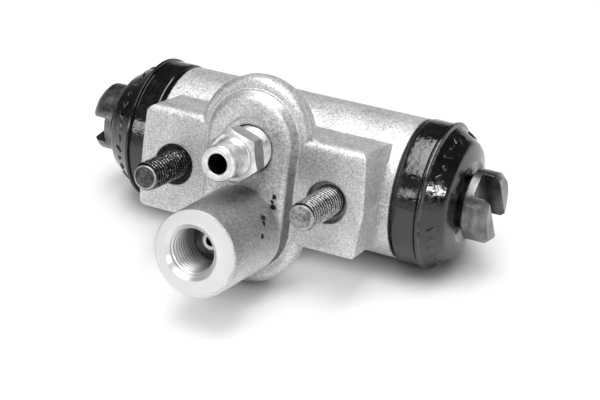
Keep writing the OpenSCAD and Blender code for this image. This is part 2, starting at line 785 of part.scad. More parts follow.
cylinder_body();
left_stud();
right_stud();
bleed_screw();
left_piston();
right_piston();
left_cup_seal();
right_cup_seal();
left_spring_seat();
right_spring_seat();
return_spring();
left_boot();
right_boot();
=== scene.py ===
"""Looks of a drum brake wheel cylinder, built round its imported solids.

Lengths in the constants are millimetres unless a comment says otherwise. The bore axis lies
FACE behind the mounting face and RISE below the studs; +X runs along the bore and the studs
point along -Y.
"""

import math

import bmesh
import bpy
import numpy as np
from mathutils import Matrix, Vector

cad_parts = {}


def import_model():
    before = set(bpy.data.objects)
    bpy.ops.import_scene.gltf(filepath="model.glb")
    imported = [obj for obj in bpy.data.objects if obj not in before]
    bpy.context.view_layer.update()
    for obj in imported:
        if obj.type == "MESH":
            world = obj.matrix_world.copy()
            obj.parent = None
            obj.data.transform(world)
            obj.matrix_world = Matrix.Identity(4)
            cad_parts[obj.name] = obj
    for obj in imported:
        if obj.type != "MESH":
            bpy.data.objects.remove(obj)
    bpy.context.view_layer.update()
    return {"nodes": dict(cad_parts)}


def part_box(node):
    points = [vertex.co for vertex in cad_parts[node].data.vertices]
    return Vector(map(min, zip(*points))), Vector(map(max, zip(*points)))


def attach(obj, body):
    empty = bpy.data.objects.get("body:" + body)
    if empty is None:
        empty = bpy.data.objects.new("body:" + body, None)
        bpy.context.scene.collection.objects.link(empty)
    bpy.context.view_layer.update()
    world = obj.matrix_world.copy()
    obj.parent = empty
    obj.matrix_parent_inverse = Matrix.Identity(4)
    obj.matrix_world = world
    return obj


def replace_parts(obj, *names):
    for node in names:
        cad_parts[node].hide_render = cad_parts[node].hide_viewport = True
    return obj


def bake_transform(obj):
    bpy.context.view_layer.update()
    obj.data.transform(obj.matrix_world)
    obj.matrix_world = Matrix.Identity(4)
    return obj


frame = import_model()

MM = 0.001

# The sizes of the solids that the added pieces meet.
FACE = 24.2
RISE = 0.75
BARREL_END = 33.0
SPIGOT_R = 13.0
STUD_HALF = 17.5
STUD_R = 3.0
STUD_OUT = 12.0
STUD_IN = 11.5
RECESS_R, RECESS_DEPTH = 4.4, 1.8
PAD_RISE = 2.2
PAD_HIGH, PAD_LOW = 10.1, -7.5
PAD_R = 10.2
COLLAR_R, COLLAR_END = 12.2, 10.8
PORT = 8.7
BLEED_SHIFT = 0.5
BOSS_R = 9.0
INLET_REACH = 45.3
INLET_SHIFT = 1.1
INLET_MOUTH_R = 5.95
INLET_THREAD_R = 5.0
LEFT_STAND = 15.05
RIGHT_STAND = 12.8
TIP_L = 5.2
PISTON_GROOVE_W = 3.0

# The bleed screw, measured along its axis from the pad.
BLEED_R, BLEED_BACK = 4.73, -9.0
BLEED_PITCH, BLEED_DEPTH = 0.75, 0.42
BLEED_POINT, BLEED_POINT_R = -14.0, 0.6
BLEED_CONE, BLEED_CORE_R = -11.1, 3.5
HEX_AF, HEX_INSET = 10.0, 0.2
HEX_BACK, HEX_FRONT = 3.9, 7.8
HEX_TURN = math.radians(-17)
ROOT_R, NECK_R, NIPPLE_R = 4.1, 3.25, 3.7
NIPPLE_TIP = 14.1
HOLE_R, HOLE_BACK = 2.0, -9.5

# The inlet's flare seat, measured back from the inlet's end.
FLARE_RIM_R, FLARE_HOLE_R, FLARE_BACK = 1.85, 1.15, 8.6
FLARE_FOOT_R, FLARE_FOOT = 3.55, 14.4


# Mesh helpers.

class Axis:
    """A line to turn shapes about: a start point, its direction, and two side directions."""

    def __init__(self, origin, along, side, other):
        self.origin = np.array(origin, float)
        self.along = np.array(along, float)
        self.side = np.array(side, float)
        self.other = np.array(other, float)

    def ring(self, s, radii, angles):
        radii = np.broadcast_to(radii, angles.shape)[:, None]
        spokes = np.cos(angles)[:, None] * self.side + np.sin(angles)[:, None] * self.other
        return (self.origin + s * self.along + radii * spokes) * MM


BORE_RIGHT = Axis((0, FACE, -RISE), (1, 0, 0), (0, 1, 0), (0, 0, 1))
BORE_LEFT = Axis((0, FACE, -RISE), (-1, 0, 0), (0, 1, 0), (0, 0, 1))
BLEED = Axis((BLEED_SHIFT, -PAD_RISE, PORT - RISE), (0, -1, 0), (1, 0, 0), (0, 0, 1))
INLET = Axis((-INLET_SHIFT, FACE - INLET_REACH, -PORT - RISE), (0, -1, 0), (1, 0, 0), (0, 0, 1))


def stud_axis(side):
    return Axis((side * STUD_HALF, 0, 0), (0, -1, 0), (1, 0, 0), (0, 0, 1))


def at(x, front, z):
    """A place in millimetres from the bore's middle: along the bore, in front of it, above it."""
    return (x, FACE - front, z - RISE)


def point(x, front, z):
    """The same place in metres."""
    return tuple(c * MM for c in at(x, front, z))


def turn_angles(segments):
    return np.linspace(0, 2 * np.pi, segments, endpoint=False)


def lathe(name, axis, rings, segments, closed=False, sharp=40.0):
    """Skin over rings, each (distance along the axis, radius or one radius per angle).
    An open skin is closed by a fan at each end; a closed one joins its last ring to its first."""
    angles = turn_angles(segments)
    points = np.concatenate([axis.ring(s, r, angles) for s, r in rings])
    faces = []
    count = len(rings)
    for i in range(count if closed else count - 1):
        a, b = i * segments, ((i + 1) % count) * segments
        for k in range(segments):
            n = (k + 1) % segments
            faces.append((a + k, a + n, b + n, b + k))
    if not closed:
        for i in (0, count - 1):
            points = np.vstack([points, (axis.origin + rings[i][0] * axis.along) * MM])
            hub = len(points) - 1
            faces += [(hub, i * segments + k, i * segments + (k + 1) % segments)
                      for k in range(segments)]
    mesh = bpy.data.meshes.new(name)
    mesh.from_pydata(points.tolist(), [], faces)
    return finish_mesh(mesh, sharp)


def shade_smooth(mesh, sharp):
    """Smooth shading, with edges kept sharp past an angle in degrees."""
    mesh.polygons.foreach_set("use_smooth", [True] * len(mesh.polygons))
    mesh.set_sharp_from_angle(angle=math.radians(sharp))


def finish_mesh(mesh, sharp):
    """Outward normals, smooth shading and an object."""
    work = bmesh.new()
    work.from_mesh(mesh)
    bmesh.ops.recalc_face_normals(work, faces=work.faces)
    work.to_mesh(mesh)
    work.free()
    shade_smooth(mesh, sharp)
    piece = bpy.data.objects.new(mesh.name, mesh)
    bpy.context.scene.collection.objects.link(piece)
    return piece


def thread_radius(s, angles, major, depth, pitch):
    """Radius of a right-hand thread at a distance along its axis, one value per angle."""
    phase = (s / pitch + angles / (2 * np.pi)) % 1.0
    crest, root = 1 / 8, 1 / 4
    away = np.abs(phase - 0.5) * 2
    slope = np.clip((away - crest) / (1 - crest - root), 0, 1)
    eased = slope * slope * (3 - 2 * slope)
    return major - depth * (eased + slope) / 2


def rounded(corners, step=12.0):
    """A line through corners, each (distance, radius, how far it is rounded), with an arc point
    every so many degrees. The first and last corner stay as they are."""
    longest = 0.48  # An arc takes up at most this share of a side.
    straight = math.radians(89)
    points = [np.array(c[:2], float) for c in corners]
    out = [points[0]]
    for before, here, after, corner in zip(points, points[1:], points[2:], corners[1:]):
        r = corner[2]
        to_before, to_after = np.linalg.norm(before - here), np.linalg.norm(after - here)
        u, v = (before - here) / to_before, (after - here) / to_after
        half = math.acos(max(-1, min(1, float(u @ v)))) / 2
        if r <= 0 or half > straight:
            out.append(here)
            continue
        reach = min(r / math.tan(half), longest * to_before, longest * to_after)
        r = reach * math.tan(half)
        middle = here + (u + v) / np.linalg.norm(u + v) * r / math.sin(half)
        start = here + u * reach - middle
        turn = math.pi - 2 * half
        sign = 1 if (u[0] * v[1] - u[1] * v[0]) < 0 else -1
        steps = max(2, int(math.degrees(turn) / step))
        for i in range(steps + 1):
            a = sign * turn * i / steps
            out.append(middle + np.array([start[0] * math.cos(a) - start[1] * math.sin(a),
                                          start[0] * math.sin(a) + start[1] * math.cos(a)]))
    out.append(points[-1])
    return out


# Material helpers.

# How far from its middle a noise is taken as full, and the same for stronger contrast.
NOISE_REACH, CONTRAST_REACH = 0.2, 0.18
EDGE_SAMPLES = 6


def grey(value):
    return (value, value, value, 1.0)


class Nodes:
    """A node tree, with short calls for the nodes used here. A value is a number or a socket."""

    def __init__(self, tree):
        self.tree = tree
        tree.nodes.clear()

    def node(self, kind, **settings):
        n = self.tree.nodes.new("ShaderNode" + kind)
        for name, value in settings.items():
            setattr(n, name, value)
        return n

    def put(self, value, socket):
        if isinstance(value, bpy.types.NodeSocket):
            self.tree.links.new(value, socket)
        else:
            socket.default_value = value

    def fill(self, node, *values):
        """Put values on a node's first inputs, in order, and give its first output."""
        for socket, value in zip(node.inputs, values):
            self.put(value, socket)
        return node.outputs[0]

    def math(self, operation, *values):
        return self.fill(self.node("Math", operation=operation), *values)

    def fold(self, operation, values):
        total = values[0]
        for value in values[1:]:
            total = self.math(operation, total, value)
        return total

    def plus(self, *values):
        return self.fold("ADD", values)

    def times(self, *values):
        return self.fold("MULTIPLY", values)

    def most(self, *values):
        return self.fold("MAXIMUM", values)

    def minus(self, a, b):
        return self.math("SUBTRACT", a, b)

    def apart(self, a, b):
        return self.math("ABSOLUTE", self.minus(a, b))

    def under(self, value, limit):
        return self.math("LESS_THAN", value, limit)

    def over(self, value, limit):
        return self.math("GREATER_THAN", value, limit)

    def without(self, share, strength=1.0):
        """What is left of 1 when a share is taken away."""
        return self.minus(1.0, self.times(share, strength))

    def waves(self, value, length):
        return self.math("SINE", self.times(value, 2 * math.pi / length))

    def vector(self, operation, a, b=(0, 0, 0)):
        n = self.node("VectorMath", operation=operation)
        self.fill(n, a, b)
        gives_number = operation in ("LENGTH", "DISTANCE", "DOT_PRODUCT")
        return n.outputs["Value" if gives_number else "Vector"]

    def split(self, v):
        n = self.node("SeparateXYZ")
        self.fill(n, v)
        return n.outputs

    def ramp(self, value, low, high, to_low=0.0, to_high=1.0, smooth=True):
        kind = "SMOOTHSTEP" if smooth else "LINEAR"
        return self.fill(self.node("MapRange", interpolation_type=kind),
                         value, low, high, to_low, to_high)

    def fade_out(self, value, start, end, strength=1.0):
        return self.ramp(value, start, end, strength, 0.0)

    # Ambient occlusion: the materials here use it to paint shade into hollows, and the floor to paint
    # a contact shadow.
    def crevice(self, distance, samples=EDGE_SAMPLES):
        n = self.node("AmbientOcclusion", samples=samples)
        n.inputs["Distance"].default_value = distance * MM
        return n.outputs["AO"]

    def ray(self, *kinds):
        """1 on rays of any of the kinds given."""
        path = self.node("LightPath").outputs
        return self.most(*(path[kind] for kind in kinds))


class Shader(Nodes):
    """A material with one principled surface, and textures that lie still on the part."""

    def __init__(self, name):
        self.material = bpy.data.materials.new(name)
        self.material.use_nodes = True
        super().__init__(self.material.node_tree)
        self.bsdf = self.node("BsdfPrincipled")
        self.put(self.bsdf.outputs[0], self.node("OutputMaterial").inputs["Surface"])
        self.where = self.node("TexCoord").outputs["Object"]

    def set(self, **values):
        for name, value in values.items():
            self.put(value, self.bsdf.inputs[name.replace("_", " ").title()])

    def millimetres(self):
        """The place on the part in millimetres."""
        return self.vector("MULTIPLY", self.where, (1 / MM, 1 / MM, 1 / MM))

    def off_axis(self, x, z, axis_x, axis_z):
        """Distance from a line that runs from front to back."""
        across = self.node("CombineXYZ")
        self.put(self.minus(x, axis_x), across.inputs["X"])
        self.put(self.minus(z, axis_z), across.inputs["Z"])
        return self.vector("LENGTH", across.outputs[0])

    def noise(self, size, detail=3.0, roughness=0.55, where=None):
        n = self.node("TexNoise")
        self.put(self.where if where is None else where, n.inputs["Vector"])
        n.inputs["Scale"].default_value = 1 / (size * MM)
        n.inputs["Detail"].default_value = detail
        n.inputs["Roughness"].default_value = roughness
        return n.outputs["Fac"]

    def spread(self, noise, low, high, reach=NOISE_REACH):
        return self.ramp(noise, 0.5 - reach, 0.5 + reach, low, high)

    def mix(self, share, a, b):
        n = self.node("Mix", data_type="RGBA")
        self.put(share, n.inputs[0])
        for socket, value in ((n.inputs[6], a), (n.inputs[7], b)):
            self.put(grey(value) if isinstance(value, float) else value, socket)
        return n.outputs[2]

    def bump(self, height, depth, strength=1.0, normal=None):
        n = self.node("Bump")
        n.inputs["Strength"].default_value = strength
        n.inputs["Distance"].default_value = depth * MM
        self.put(height, n.inputs["Height"])
        if normal is not None:
            self.put(normal, n.inputs["Normal"])
        return n.outputs[0]

    def soft_edges(self, radius):
        n = self.node("Bevel", samples=EDGE_SAMPLES)
        n.inputs["Radius"].default_value = radius * MM
        return n.outputs[0]


# Cast aluminium.

# Sizes of its noise, tones and roughness from dark to pale grain, and depths of its relief.
GRAIN, COARSE, CLOUDS = 0.34, 0.9, 7.0
CAST_TONE, CAST_ROUGH = (0.45, 0.80), (0.46, 0.64)
# The tone added along the flash is a painted highlight on its raised ridge.
COARSE_TONE, CLOUD_TONE, FLASH_HIGHLIGHT = 0.07, 0.06, 0.16
# Painted shade in crevices: how far the ambient occlusion looks, and the darkest tone it leaves.
CREVICE_REACH, CREVICE_SHADE = 1.6, 0.35
CAST_METALLIC, CAST_BUMP, CAST_EDGE = 0.85, 0.15, 0.45
GRAIN_HEIGHT, COARSE_HEIGHT = 0.6, 0.7

# The inlet's machined end and bore, painted darker with depth as shade.
MACHINED_ROUGH, TOOL_MARKS, TOOL_MARK_TONE, TOOL_MARK_BUMP = 0.36, 0.42, 0.03, 0.02
BORE_SHADE, BORE_DEPTHS = (0.72, 0.20), (0.5, 8.0)
SEAT_TONE, SEAT_DULL, DRILLED_SHADE = 0.85, 0.75, 0.95
CHIPS, CHIP_EDGE, CHIP_SIDE = 1.8, (BOSS_R + 0.2, BOSS_R + 0.8), (0.0, 6.0)
END_DEPTH, SEAT_HALF, SEAT_OVER, DRILL_OVER = 0.06, 0.12, 0.1, 0.02

# Painted shade and shadows: strongest share of the light that each one takes.
SHADE_AT_STUD, SHADE_AT_RIM = 0.85, 0.8
SHADE_LEFT, SHADE_RIGHT = 0.90, 0.30
FLANK_SHADE, LUG_SHADOW, PAD_SHADOW, BOSS_SHADE = (0.72, 0.25), 0.36, 0.62, 0.42
LUG_SHADOW_AT, PAD_SHADOW_AT = at(13.2, FACE, 7.4), at(1.2, 29.0, 0.0)
PAD_SHADOW_SHAPE = (1.0, 0.55, 1.0)
# How far clouds shift the edge of each patch of painted shade.
FLANK_DRIFT, LUG_DRIFT, PAD_DRIFT, BOSS_DRIFT, RECESS_DRIFT = 6.0, 3.0, 1.5, 4.0, 0.3

# Flash left by the mould, and how far it wanders.
PARTING_Z, PARTING_BACK, SEAM_BACK = 0.2, 1.2, 1.75
RIDGE_OUT, FLASH_WANDER = 0.22, 0.25

# Casting pits on the pad and the inlet boss: along the bore, in front of it, above it, radius.
PITS = ((7.0, 26.4, -0.1, 0.55), (6.7, 26.4, -1.2, 0.45), (7.0, 26.4, -2.2, 0.75),
        (7.4, 31.3, -3.0, 0.95), (7.9, 31.9, -3.9, 0.75), (8.8, 33.9, -6.0, 0.75))
# The pits' tone is painted shade in their hollows.
PIT_RAGGED, PIT_SHADE, PIT_DEPTH, PIT_EDGE = 1.7, 0.96, 2.0, (0.55, 1.15)


class Casting(Shader):
    """Cast aluminium with its machined and pitted places, and the shade painted on it."""

    def __init__(self):
        super().__init__("cast_aluminium")
        self.spot = self.millimetres()
        self.x, y, self.z = self.split(self.spot)
        self.front = self.times(y, -1.0)
        self.depth = self.minus(INLET_REACH - FACE, self.front)
        self.grain = self.noise(GRAIN, detail=2.0, roughness=0.6)
        self.coarse = self.noise(COARSE, roughness=0.6)
        self.clouds = self.noise(CLOUDS, detail=2.0)
        self.inlet_r = self.off_axis(self.x, self.z, -INLET_SHIFT, -PORT - RISE)
        self.boss_r = self.off_axis(self.x, self.z, 0.0, -PORT - RISE)
        low, high = PAD_LOW - RISE, PAD_HIGH - RISE
        nearest = self.math("MINIMUM", self.most(self.z, low), high)
        self.pad_r = self.off_axis(self.x, self.z, 0.0, nearest)
        self.tool_marks = self.waves(self.inlet_r, TOOL_MARKS)
        self.seat = self.times(self.under(self.apart(self.depth, FLARE_BACK), SEAT_HALF),
                               self.under(self.inlet_r, FLARE_RIM_R + SEAT_OVER))

    def machined(self):
        """The inlet's end, its rim chipped on the right, and its bore."""
        rim = self.plus(self.boss_r, self.times(self.coarse, CHIPS))
        chipped = self.times(self.ramp(rim, *CHIP_EDGE), self.ramp(self.x, *CHIP_SIDE))
        end_face = self.times(self.under(self.depth, END_DEPTH), self.without(chipped))
        bore = self.times(self.under(self.inlet_r, INLET_MOUTH_R),
                          self.over(self.front, PAD_RISE + 0.3))
        return self.most(end_face, bore)

    def machined_tone(self):
        """Painted darker down the bore as shade, pale on the seat's rim, and painted nearly
        black as shade in the seat's hole.
        """
        tone = self.plus(self.ramp(self.depth, *BORE_DEPTHS, *BORE_SHADE),
                         self.times(self.tool_marks, TOOL_MARK_TONE))
        tone = self.most(tone, self.times(self.seat, SEAT_TONE))
        drilled = self.times(self.under(self.inlet_r, FLARE_HOLE_R + DRILL_OVER),
                             self.over(self.depth, FLARE_BACK + SEAT_OVER))
        return self.times(tone, self.without(drilled, DRILLED_SHADE))

    def stud_recess_shade(self):
        """Recesses round the studs, painted dark as shade, most of all the left one."""
        stud_r = self.off_axis(self.math("ABSOLUTE", self.x), self.z, STUD_HALF, 0.0)
        uneven_r = self.plus(stud_r, self.times(self.coarse, RECESS_DRIFT))
        recess = self.times(self.fade_out(uneven_r, RECESS_R - 0.05, RECESS_R + 0.25),
                            self.fade_out(self.front, -0.5, -0.05),
                            self.over(self.front, -RECESS_DEPTH - 0.3))
        recess_shade = self.most(
            self.fade_out(stud_r, STUD_R + 0.2, STUD_R + 0.7, SHADE_AT_STUD),
            self.fade_out(self.apart(stud_r, RECESS_R), 0.08, 0.28, SHADE_AT_RIM),
            self.ramp(self.x, -5.0, 5.0, SHADE_LEFT, SHADE_RIGHT))
        return self.times(recess, recess_shade)

    def painted_shade(self):
        """Painted shade and shadows: on the pad's right flank, on the lug beside it, on the pad
        and on the inlet boss.
        """
        lowness = self.plus(self.z, self.times(self.clouds, FLANK_DRIFT))
        flank = self.times(self.ramp(self.pad_r, PAD_R - 1.3, PAD_R - 0.8),
                           self.fade_out(self.pad_r, PAD_R - 0.1, PAD_R + 0.1),
                           self.ramp(self.front, 0.0, 0.15),
                           self.fade_out(self.front, PAD_RISE - 0.3, PAD_RISE),
                           self.ramp(self.x, 2.0, 8.5),
                           self.ramp(lowness, 0.0, 15.0, *FLANK_SHADE))
        to_lug = self.plus(self.vector("DISTANCE", self.spot, LUG_SHADOW_AT),
                           self.times(self.clouds, LUG_DRIFT))
        from_pad = self.vector("SUBTRACT", self.spot, PAD_SHADOW_AT)
        to_pad = self.vector("LENGTH", self.vector("MULTIPLY", from_pad, PAD_SHADOW_SHAPE))
        to_pad = self.plus(to_pad, self.times(self.clouds, PAD_DRIFT))
        boss_up = self.plus(self.z, PORT + RISE, self.times(self.clouds, BOSS_DRIFT))
        boss = self.times(self.ramp(boss_up, -3.0, 6.5, 0.0, BOSS_SHADE),
                          self.ramp(self.boss_r, BOSS_R - 0.25, BOSS_R - 0.15),
                          self.ramp(self.front, PAD_RISE, PAD_RISE + 1.0))
        return self.most(flank, self.fade_out(to_lug, 2.5, 8.5, LUG_SHADOW),
                         self.fade_out(to_pad, 1.2, 5.0, PAD_SHADOW), boss)

    def flash(self):
        """Lines at half height behind the lugs' faces, round the collar, and round the pad's foot."""
        wander = self.times(self.minus(self.coarse, 0.5), FLASH_WANDER)
        height = self.apart(self.plus(self.z, wander), PARTING_Z - RISE)
        parting = self.times(self.fade_out(height, 0.06, 0.26),
                             self.under(self.front, -PARTING_BACK))
        collar_r = self.off_axis(self.x, self.z, 0.0, COLLAR_END - RISE)
        seam = self.times(self.fade_out(self.apart(self.front, -SEAM_BACK), 0.05, 0.2),
                          self.ramp(collar_r, COLLAR_R - 0.5, COLLAR_R - 0.2),
                          self.over(self.z, COLLAR_END - 1.0))
        ridge = self.times(
            self.fade_out(self.apart(self.pad_r, PAD_R + RIDGE_OUT), 0.08, 0.26),
            self.fade_out(self.math("ABSOLUTE", self.front), 0.15, 0.4))
        return self.most(parting, seam, ridge)

    def pits(self):
        """Small holes with ragged edges; they are painted dark as shade."""
        ragged = self.times(self.minus(self.grain, 0.5), PIT_RAGGED)
        found = []
        for along, ahead, up, radius in PITS:
            away = self.vector("DISTANCE", self.spot, at(along, ahead, up))
            away = self.plus(self.times(away, 1 / radius), ragged)
            found.append(self.fade_out(away, *PIT_EDGE))
        return self.most(*found)


def cast_aluminium():
    s = Casting()
    machined, flash, pits = s.machined(), s.flash(), s.pits()
    cast = s.without(machined)
    # Grain, coarse grain and clouds, with a painted highlight along the flash.
    tone = s.plus(s.spread(s.grain, *CAST_TONE, CONTRAST_REACH),
                  s.spread(s.coarse, -COARSE_TONE, COARSE_TONE),
                  s.spread(s.clouds, -CLOUD_TONE, CLOUD_TONE),
                  s.times(flash, FLASH_HIGHLIGHT))
    # Painted shade in crevices, in the pits, in the stud recesses and on the pad, lug and boss.
    tone = s.times(tone, s.ramp(s.crevice(CREVICE_REACH), 0.15, 0.75, CREVICE_SHADE, 1.0),
                   s.without(pits, PIT_SHADE), s.without(s.stud_recess_shade()), s.without(s.painted_shade()))
    height = s.plus(s.times(s.grain, GRAIN_HEIGHT), s.times(s.coarse, COARSE_HEIGHT), flash,
                    s.times(pits, -PIT_DEPTH))
    height = s.plus(s.times(height, cast), s.times(s.tool_marks, machined, TOOL_MARK_BUMP))
    s.set(base_color=s.mix(machined, tone, s.machined_tone()),
          roughness=s.plus(s.times(s.spread(s.grain, *CAST_ROUGH), cast),
                           s.times(machined, MACHINED_ROUGH)),
          metallic=s.minus(CAST_METALLIC, s.times(s.seat, SEAT_DULL)),
          normal=s.bump(height, CAST_BUMP, normal=s.soft_edges(CAST_EDGE)))
    return s.material


# Steel, zinc and rubber.

# Radii between which a stud's worn and glinting crests, the painted highlight round its end and the
# one at its edge fade.
CREST_FADE = (STUD_R - 0.26, STUD_R - 0.06)
RING_INSIDE, RING_OUTSIDE = (STUD_R - 0.85, STUD_R - 0.72), (STUD_R - 0.56, STUD_R - 0.46)
END_EDGE = (STUD_R - 0.32, STUD_R - 0.2)
SHEARED_DEPTH, SHEARED_ROUGH = 0.3, 0.14


def stud_steel(name, crest, root, end, rough, bare_and_glinting):
    """Threaded steel: dark roots, their finish and painted shade in the thread; pale crests, worn
    and with painted glints; and a grainy sheared end with a painted highlight round its rim.
    Tones of the crests, roots and end; the side's roughness; how much of the crests is pale."""
    s = Shader(name)
    x, y, z = s.split(s.millimetres())
    worn = s.noise(size=0.9)
    speck = s.noise(size=0.3, roughness=0.7)
    radius = s.off_axis(s.math("ABSOLUTE", x), z, STUD_HALF, 0.0)
    uneven = s.times(s.minus(worn, 0.5), 0.4)
    # Pale crests, partly worn and partly painted glints, over dark roots, partly finish and partly
    # painted shade.
    top = s.times(s.ramp(s.plus(radius, uneven), *CREST_FADE),
                  s.ramp(speck, bare_and_glinting, bare_and_glinting + 0.16, 0.04, 1.0))
    side = s.mix(top, root, crest)
    sheared = s.under(y, SHEARED_DEPTH - STUD_OUT)
    ragged = s.plus(radius, s.times(uneven, 0.4))
    # Painted highlights round the end's rim and on the chamfer at its edge.
    rim = s.most(s.times(s.ramp(ragged, *RING_INSIDE), s.ramp(ragged, *RING_OUTSIDE, 1.0, 0.2)),
                 s.ramp(ragged, *END_EDGE, 0.0, 0.9))
    crushed = s.times(s.plus(speck, worn), 0.5)
    face = s.mix(s.ramp(crushed, 0.40, 0.62), end * 0.4, end * 1.9)
    face = s.mix(s.times(rim, 0.8), face, min(0.7, crest * 1.15))
    s.set(base_color=s.mix(sheared, side, face), metallic=0.8,
          roughness=s.plus(s.spread(worn, rough - 0.08, rough + 0.10),
                           s.times(sheared, SHEARED_ROUGH)),
          normal=s.bump(speck, depth=0.06, strength=0.7))
    return s.material


ZINC_TONE, ZINC_ROUGH, ZINC_MARKS = (0.74, 0.98), (0.36, 0.48), 0.5
# The hexagon's duller flats, painted shade in the thread's groove, and the nipple's hole painted
# nearly black as shade.
FLATS_DULL, GROOVE_SHADE, NIPPLE_HOLE_SHADE = 0.52, 0.62, 0.97


def zinc_plate():
    """Bright zinc plate with turning marks, duller on the hexagon's flats, with shade painted into
    its groove and crevices and its hole painted nearly black as shade.
    """
    s = Shader("zinc_plate")
    x, y, z = s.split(s.millimetres())
    cloud = s.noise(size=1.3, detail=4.0)
    radius = s.off_axis(x, z, BLEED_SHIFT, PORT - RISE)
    out = s.minus(-PAD_RISE, y)
    facing = s.split(s.node("NewGeometry").outputs["True Normal"])
    flats = s.times(s.under(s.math("ABSOLUTE", facing["Y"]), 0.3),
                    s.over(radius, HEX_AF / 2 - 0.1), s.over(out, HEX_BACK - 0.05))
    groove = s.times(s.under(out, HEX_BACK - 0.5),
                     s.fade_out(radius, BLEED_R - 0.36, BLEED_R - 0.14, GROOVE_SHADE))
    turned = s.waves(s.plus(radius, s.times(y, 0.7)), ZINC_MARKS)
    # Painted shade in the thread's groove, in crevices from the ambient occlusion, and in the hole.
    tone = s.times(s.spread(cloud, *ZINC_TONE, CONTRAST_REACH),
                   s.ramp(turned, -1.0, 1.0, 0.84, 1.0), s.without(groove),
                   s.ramp(s.crevice(distance=0.5), 0.3, 0.85, 0.45, 1.0), s.without(flats, FLATS_DULL),
                   s.without(s.under(radius, HOLE_R + 0.12), NIPPLE_HOLE_SHADE))
    height = s.plus(cloud, s.times(turned, 0.25))
    s.set(base_color=tone, metallic=0.9, roughness=s.spread(cloud, *ZINC_ROUGH),
          normal=s.bump(height, depth=0.02, strength=0.8))
    return s.material


PISTON_TONE, PISTON_ROUGH, PISTON_MARKS = (0.09, 0.22), (0.24, 0.40), 0.24


def turned_steel():
    """Dark turned steel with fine rings, smears of oil, and shade painted into its slot."""
    s = Shader("turned_steel")
    x = s.split(s.millimetres())["X"]
    uneven = s.noise(size=1.4, detail=4.0)
    drawn_out = s.vector("MULTIPLY", s.where, (1.0, 0.45, 0.45))
    smear = s.noise(size=2.6, detail=4.0, roughness=0.6, where=drawn_out)
    # The ambient occlusion paints shade into the slot and other hollows.
    tone = s.times(s.spread(smear, *PISTON_TONE, CONTRAST_REACH),
                   s.ramp(s.crevice(distance=4.0), 0.35, 0.95, 0.12, 1.0))
    height = s.plus(s.times(s.waves(x, PISTON_MARKS), 0.10), s.times(uneven, 0.6))
    s.set(base_color=tone, metallic=0.92, roughness=s.spread(uneven, *PISTON_ROUGH),
          normal=s.bump(height, depth=0.04, strength=0.7, normal=s.soft_edges(radius=0.2)))
    return s.material


def plain_metal(name, tone, rough):
    """Metal of one tone, a little cloudy."""
    s = Shader(name)
    cloud = s.noise(size=1.2)
    s.set(base_color=s.mix(s.spread(cloud, 0.0, 1.0), tone * 0.85, tone * 1.1), metallic=0.9,
          roughness=s.spread(cloud, rough - 0.05, rough + 0.08),
          normal=s.bump(cloud, depth=0.02, strength=0.5))
    return s.material


RUBBER_IOR = 1.65


def rubber(name, tone, rough, depth):
    """Black rubber, its gloss broken up by a fine skin and by broad smears, both this deep."""
    s = Shader(name)
    skin = s.noise(size=0.8, detail=2.0, roughness=0.6)
    broad = s.noise(size=3.2)
    s.set(base_color=s.spread(broad, tone * 0.7, tone * 1.4),
          roughness=s.plus(s.spread(broad, rough - 0.05, rough + 0.07),
                           s.spread(skin, -0.05, 0.05)),
          normal=s.bump(s.plus(skin, broad), depth))
    s.bsdf.inputs["IOR"].default_value = RUBBER_IOR
    return s.material


ALUMINIUM = cast_aluminium()
BLACK_STEEL = stud_steel("black_steel", crest=0.48, root=0.003, end=0.08, rough=0.28, bare_and_glinting=0.48)
GREY_STEEL = stud_steel("grey_steel", crest=0.46, root=0.025, end=0.24, rough=0.34, bare_and_glinting=0.36)
ZINC = zinc_plate()
TURNED = turned_steel()
SEAT_STEEL = plain_metal("seat_steel", tone=0.42, rough=0.35)
SPRING_STEEL = plain_metal("spring_steel", tone=0.40, rough=0.30)
BOOT_RUBBER = rubber("boot_rubber", tone=0.005, rough=0.13, depth=0.042)
SEAL_RUBBER = rubber("seal_rubber", tone=0.02, rough=0.40, depth=0.02)

NODE_MATERIALS = {
    "cylinder_body": ALUMINIUM,
    "left_piston": TURNED,
    "right_piston": TURNED,
    "left_cup_seal": SEAL_RUBBER,
    "right_cup_seal": SEAL_RUBBER,
    "left_spring_seat": SEAT_STEEL,
    "right_spring_seat": SEAT_STEEL,
    "return_spring": SPRING_STEEL,
}
for node, finish in NODE_MATERIALS.items():
    slots = frame["nodes"][node].data.materials
    slots.clear()
    slots.append(finish)


# Studs.

THREAD_PITCH = 1.0
THREAD_DEPTH = 0.58
STUD_CHAMFER, CHAMFER_SLOPE = 0.6, 1.1
STUD_ROOT_R = 2.73
STEPS_A_PITCH = 12
# The stud's end: places along it from its tip, with how far each lies in from the chamfer.
STUD_END = ((-0.05, 0.04), (0.0, 0.14), (0.0, 1.2))


def stud(name, side, finish):
    """Plain inside the casting, threaded from the bottom of its recess to its chamfered end."""
    segments = 96
    angles = turn_angles(segments)
    rings = [(-STUD_IN, STUD_ROOT_R), (-RECESS_DEPTH, STUD_ROOT_R)]
    for s in np.arange(-RECESS_DEPTH, STUD_OUT - 0.1, THREAD_PITCH / STEPS_A_PITCH):
        wall = thread_radius(s, angles, STUD_R, THREAD_DEPTH, THREAD_PITCH)
        limit = STUD_R + 0.1 - max(0.0, s - (STUD_OUT - STUD_CHAMFER)) * CHAMFER_SLOPE
        rings.append((s, np.minimum(wall, limit)))
    rim = STUD_R - STUD_CHAMFER
    rings += [(STUD_OUT + along, rim - inward) for along, inward in STUD_END]
    piece = lathe(name, stud_axis(side), rings, segments, sharp=50)
    piece.data.materials.append(finish)
    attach(piece, "housing")
    return piece


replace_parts(stud("left_stud_threaded", -1, BLACK_STEEL), "left_stud")
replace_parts(stud("right_stud_threaded", 1, GREY_STEEL), "right_stud")


# Inlet thread and flare seat.

